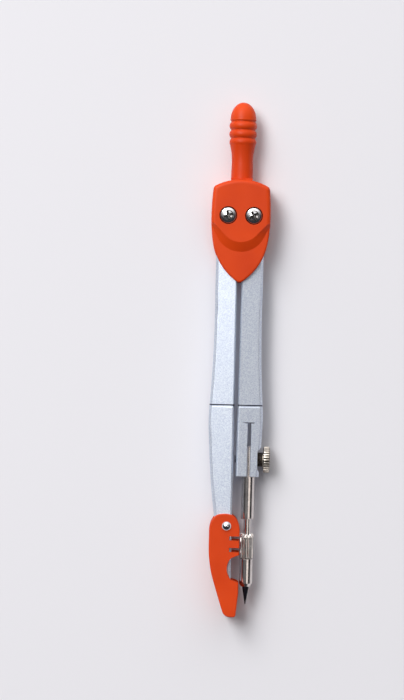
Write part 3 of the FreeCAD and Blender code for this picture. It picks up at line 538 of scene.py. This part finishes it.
# a copy of a solid with its triangles joined into whole faces and its outward edges broken,
# by the full width along both rims of the cross groove and by a share of it elsewhere
def brokenEdges(node, body, slot, material, size):
    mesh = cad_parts[node].data.copy()
    mesh.name = node + "Finish"
    if "custom_normal" in mesh.attributes:
        mesh.attributes.remove(mesh.attributes["custom_normal"])
    piece = addPiece(node + "Finish", mesh, body, slot, material, node)
    work = bmesh.new()
    work.from_mesh(mesh)
    bmesh.ops.remove_doubles(work, verts=work.verts, dist=weldWithin["solid"])
    bmesh.ops.dissolve_limit(work, angle_limit=math.radians(size["flatTurn"]),
                             verts=work.verts, edges=work.edges, delimit={"SHARP"})
    turn = math.radians(size["smallestTurn"])
    share = work.edges.layers.float.new("bevel_weight_edge")
    for edge in work.edges:
        if edge.is_manifold and edge.calc_face_angle_signed() > turn and isBroken(edge, size):
            off = max(abs(corner.co.y - size["grooveAt"]) for corner in edge.verts)
            edge[share] = 1.0 if off < size["grooveHalf"] else size["others"]
    work.to_mesh(mesh)
    work.free()
    mesh.shade_smooth()
    mesh.set_sharp_from_angle(angle=turn)
    bevel = piece.modifiers.new("brokenEdge", "BEVEL")
    bevel.width = size["width"]
    bevel.segments = size["segments"]
    bevel.limit_method = "WEIGHT"
    bevel.use_clamp_overlap = False
    bevel.harden_normals = True


for node, body in (("needle_leg", "needle_leg_body"), ("lead_leg", "lead_leg_body")):
    brokenEdges(node, body, "silver_paint", lacquer, legEdge)
print("legs made")

for node, material in (
    ("grip", orange), ("front_cover", coverOrange), ("rear_cover", orange),
    ("needle_cover", orange), ("left_pivot_screw", leftScrewChrome),
    ("right_pivot_screw", rightScrewChrome),
    ("left_pivot_nut", zinc), ("right_pivot_nut", zinc), ("left_spring_washer", zinc),
    ("right_spring_washer", zinc), ("cover_rivet", chrome), ("needle", needleSteel),
    ("holder_rod", holderNickel), ("lead_collet", holderNickel),
    ("chuck_sleeve", holderNickel), ("lead", leadGraphite),
):
    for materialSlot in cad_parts[node].material_slots:
        materialSlot.material = material
print("solids finished")


clampThread = {
    "pitch": 0.45 * mm, "depth": 0.2 * mm, "chamfer": 0.3 * mm, "endDepth": 0.22 * mm,
    "around": 72, "steps": 24, "sharpAngle": 32,
}


# a screw thread: the radius falls by the depth in a zigzag of height less the turned share
# of a pitch, and both ends run in over a chamfer to the end depth
def makeClampScrew(size):
    low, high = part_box("clamp_screw")
    radius = (high.z - low.z) / 2
    centre = ((low.x + high.x) / 2, (low.y + high.y) / 2, (low.z + high.z) / 2)
    length = high.x - low.x
    rows = int(length / size["pitch"] * size["steps"])
    heights, angles = np.meshgrid(np.linspace(-length / 2, length / 2, rows),
                                  np.linspace(0, twoPi, size["around"], endpoint=False),
                                  indexing="ij")
    cut = zigzag(heights / size["pitch"] - angles / twoPi) * size["depth"]
    fromEnd = np.minimum(heights + length / 2, length / 2 - heights)
    inwards = np.clip(fromEnd / size["chamfer"], 0, 1)
    radii = np.minimum(radius - cut, radius - size["endDepth"] * (1 - inwards))
    radii[0] = radii[-1] = 0
    mesh = roundSurface("clampScrewThread", centre, xAxis, heights, radii, angles)
    piece = addPiece("clampScrewThread", mesh, "clamp_shank", "plated_steel", zinc,
                     "clamp_screw")
    finishMesh(piece, size["sharpAngle"])


makeClampScrew(clampThread)
print("clamp screw made")

chuckNut = {
    "bore": 1.56 * mm, "ridges": 22, "ridgeDepth": 0.24 * mm, "grooveShare": 0.7,
    "crownTeeth": 11, "crownDepth": 0.7 * mm, "crownFloor": 0.735 * mm, "crownWall": 0.5 * mm,
    "crownLip": 0.1 * mm, "crownSlope": 0.6 * mm, "chamfer": 0.2 * mm, "around": 12,
    "sharpAngle": 20,
}


# the knurled chuck nut: straight ridges between V grooves of the angle, a sloping crown whose
# height falls in a wider zigzag of the angle, and a bore that joins both ends
def makeChuckNut(size):
    centre, half, radius = turnedSizes("chuck_nut", yAxis)
    angles = np.linspace(0, twoPi, size["ridges"] * size["around"], endpoint=False)
    ridged = radius - size["ridgeDepth"] * grooves(angles * size["ridges"] / twoPi,
                                                   size["grooveShare"])
    crown = half - size["crownDepth"] * zigzag(angles * size["crownTeeth"] / twoPi)
    flat = np.ones_like(angles)
    bore, chamfer = size["bore"], size["chamfer"]
    floor = half - size["crownFloor"]
    wall = radius - size["crownWall"]
    profile = (
        (bore * flat, floor * flat), (wall * flat, floor * flat),
        (wall * flat, crown), ((wall + size["crownLip"]) * flat, crown),
        (ridged, crown - size["crownSlope"]), (ridged, (chamfer - half) * flat),
        ((radius - chamfer) * flat, -half * flat), (bore * flat, -half * flat),
    )
    radii = np.stack([row[0] for row in profile])
    heights = np.stack([row[1] for row in profile])
    mesh = roundSurface("knurledNut", centre, yAxis, heights, radii, angles, bored=True)
    piece = addPiece("knurledNut", mesh, "knurled_nut", "nickel", nutNickel, "chuck_nut")
    finishMesh(piece, size["sharpAngle"])


thumbWheel = {
    "bore": 1.29 * mm, "hubRadius": 2.2 * mm, "thickness": 2.1 * mm, "ridges": 28,
    "ridgeDepth": 0.4 * mm, "grooveShare": 0.55, "chamfer": 0.22 * mm, "rimBreak": 0.044 * mm,
    "rimBreakLength": 0.352 * mm, "dish": 0.25 * mm, "dishRim": 0.66 * mm,
    "dishFoot": 0.99 * mm, "around": 8, "sharpAngle": 20,
}


# the clamp's thumb wheel: straight ridges between V grooves of the angle, chamfered on both
# sides, a shallow dish in its outer face, and a plain hub towards the leg
def makeThumbWheel(size):
    centre, half, radius = turnedSizes("thumb_wheel", xAxis)
    angles = np.linspace(0, twoPi, size["ridges"] * size["around"], endpoint=False)
    ridged = radius - size["ridgeDepth"] * grooves(angles * size["ridges"] / twoPi,
                                                   size["grooveShare"])
    flat = np.ones_like(angles)
    inner, chamfer, dished = half - size["thickness"], size["chamfer"], half - size["dish"]
    broken, length = ridged - size["rimBreak"], size["rimBreakLength"]
    low = radius - size["ridgeDepth"]
    profile = (
        (size["bore"] * flat, -half), (size["hubRadius"] * flat, -half),
        (size["hubRadius"] * flat, inner), ((low - chamfer) * flat, inner),
        (broken, inner + chamfer), (ridged, inner + length),
        (ridged, half - length), (broken, half - chamfer),
        ((low - chamfer) * flat, half), ((low - size["dishRim"]) * flat, half),
        ((low - size["dishFoot"]) * flat, dished), (size["bore"] * flat, dished),
    )
    radii = np.stack([row[0] for row in profile])
    heights = np.stack([row[1] * flat for row in profile])
    mesh = roundSurface("knurledWheel", centre, xAxis, heights, radii, angles, bored=True)
    piece = addPiece("knurledWheel", mesh, "clamp_wheel", "nickel_brass", wheelBrass,
                     "thumb_wheel")
    finishMesh(piece, size["sharpAngle"])


makeChuckNut(chuckNut)
makeThumbWheel(thumbWheel)
print("knurled pieces made")


studio = {
    "floorHalf": 6.0,
    "floorColour": (0.80, 0.79, 0.825),
    "floorRoughness": 0.85,
    "floorShine": 0.1,
    "skyDim": (0.03, 0.03, 0.036),
    "skyBright": (2.1, 2.1, 2.1),
    "skyTowards": (-0.10, 0.90, 0.42),
    "skyPower": 3.2,
    "backdrop": (0.66, 0.65, 0.68),
    "backdropTop": (0.10, 0.26),
    "cameraDistance": 0.95,
    "pictureHeight": 217.9 * mm,
    "lookAt": (-12.2 * mm, -41.9 * mm),
    "roll": 1.5,
}
# each lamp: its direction in degrees left and up of straight above, how far off it is in
# metres, its width and height, power and colour
lamps = {
    "keyLamp": ((33, 42), 1.8, 0.8, 0.8, 5.0, (1, 0.995, 0.985)),
    "sheenLamp": ((23, 17), 1.75, 0.75, 0.75, 5.3, (1, 1, 1)),
    "sideStrip": ((-25, -5), 1.8, 1.2, 0.3, 0.48, (1, 0.93, 0.88)),
}
# the lamps' beams are this wide in degrees, so that the floor under a lamp stays even
lampSpread = 120


# a wide pale floor inside a low pale backdrop, under a sky whose brightness grows with a
# power of the nearness to one direction
def makeStudio(size):
    reach = size["floorHalf"]
    mesh = bpy.data.meshes.new("floor")
    corners = [(-reach, -reach, 0), (reach, -reach, 0), (reach, reach, 0), (-reach, reach, 0)]
    mesh.from_pydata(corners, [], [(0, 1, 2, 3)])
    floor = bpy.data.objects.new("floor", mesh)
    bpy.context.scene.collection.objects.link(floor)
    floor.location.z = cadLow.z
    material, tree, shader = newMaterial("floorPaint")
    shader.inputs["Base Color"].default_value = (*size["floorColour"], 1)
    shader.inputs["Roughness"].default_value = size["floorRoughness"]
    shader.inputs["Specular IOR Level"].default_value = size["floorShine"]
    mesh.materials.append(material)

    world = bpy.data.worlds.new("studioWorld")
    bpy.context.scene.world = world
    world.use_nodes = True
    tree = world.node_tree
    background = tree.nodes["Background"]
    direction = addNode(tree, "ShaderNodeTexCoord").outputs["Generated"]
    brightest = tuple(Vector(size["skyTowards"]).normalized())
    towards = addNode(tree, "ShaderNodeVectorMath", {0: direction, 1: brightest},
                      operation="DOT_PRODUCT")
    near = spread(tree, towards.outputs["Value"], 0, 1)
    share = calculate(tree, "POWER", near, size["skyPower"])
    sky = blendColours(tree, share, size["skyDim"], size["skyBright"])
    height = addNode(tree, "ShaderNodeSeparateXYZ", {0: direction}).outputs[2]
    above = spread(tree, height, 0, 1, *size["backdropTop"])
    connect(tree, blendColours(tree, above, size["backdrop"], sky), background, "Color")


def makeLamp(name, lean, away, width, height, power, colour):
    data = bpy.data.lights.new(name, "AREA")
    data.shape = "ELLIPSE"
    data.spread = math.radians(lampSpread)
    data.size, data.size_y = width, height
    data.energy = power
    data.color = colour
    lamp = bpy.data.objects.new(name, data)
    bpy.context.scene.collection.objects.link(lamp)
    left, up = math.tan(math.radians(lean[0])), math.tan(math.radians(lean[1]))
    middle = (cadLow + cadHigh) / 2
    towards = Vector((-left, up, 1)).normalized()
    across = Vector((0, 1, 0)).cross(towards).normalized()
    facing = Matrix((across, towards.cross(across), towards)).transposed()
    lamp.matrix_world = Matrix.Translation(middle + towards * away) @ facing.to_4x4()


# the camera hangs over the front cover and looks straight down, turned by the roll; the
# pivots' midpoint is the frame's origin
def makeCamera(size):
    roll = math.radians(size["roll"])
    right = Vector((math.cos(roll), math.sin(roll), 0))
    up = Vector((-math.sin(roll), math.cos(roll), 0))
    data = bpy.data.cameras.new("camera")
    data.lens = data.sensor_width * size["cameraDistance"] / size["pictureHeight"]
    camera = bpy.data.objects.new("camera", data)
    bpy.context.scene.collection.objects.link(camera)
    aim = right * size["lookAt"][0] + up * size["lookAt"][1]
    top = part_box("front_cover")[1].z
    camera.matrix_world = Matrix.Translation((aim.x, aim.y, top + size["cameraDistance"])) \
        @ Matrix.Rotation(roll, 4, "Z")
    bpy.context.scene.camera = camera


makeStudio(studio)
for lampName, lampFacts in lamps.items():
    makeLamp(lampName, *lampFacts)
makeCamera(studio)
bpy.context.scene.view_settings.view_transform = "Standard"
print("studio made")
